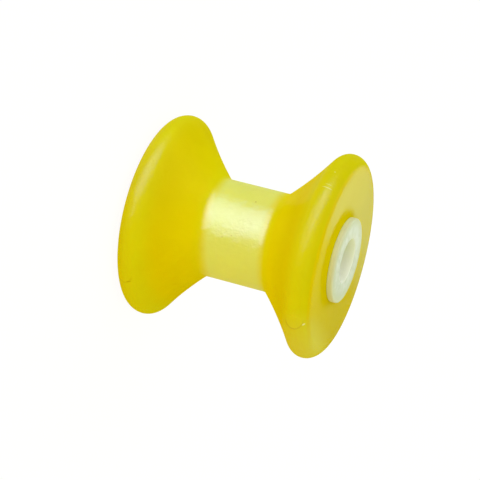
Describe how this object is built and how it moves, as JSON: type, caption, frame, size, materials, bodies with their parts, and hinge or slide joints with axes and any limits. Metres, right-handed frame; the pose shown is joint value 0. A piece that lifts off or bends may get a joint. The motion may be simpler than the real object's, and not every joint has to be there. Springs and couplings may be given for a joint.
{
  "type": "boat trailer bow stop",
  "caption": "Spool-shaped translucent elastomer roller with two wide flared flanges and a narrow waist, moulded round a straight hard plastic hub tube with a plain shaft bore.",
  "frame": {"origin": "centre of the lower hub end face, on the bore axis", "axes": "+Z along the bore axis, up from the lower hub end to the upper one, which is the end that shows in the picture; -Y is the side that faces the picture's camera"},
  "size_m": [0.0748, 0.0748, 0.0762],
  "materials": {
    "yellow_elastomer": "moulded, glossy, cloudy translucent yellow",
    "white_hub_plastic": "moulded, satin, natural white"
  },
  "bodies": {
    "root": {"roller_body": "yellow_elastomer", "hub_sleeve": "white_hub_plastic"}
  },
  "joints": []
}
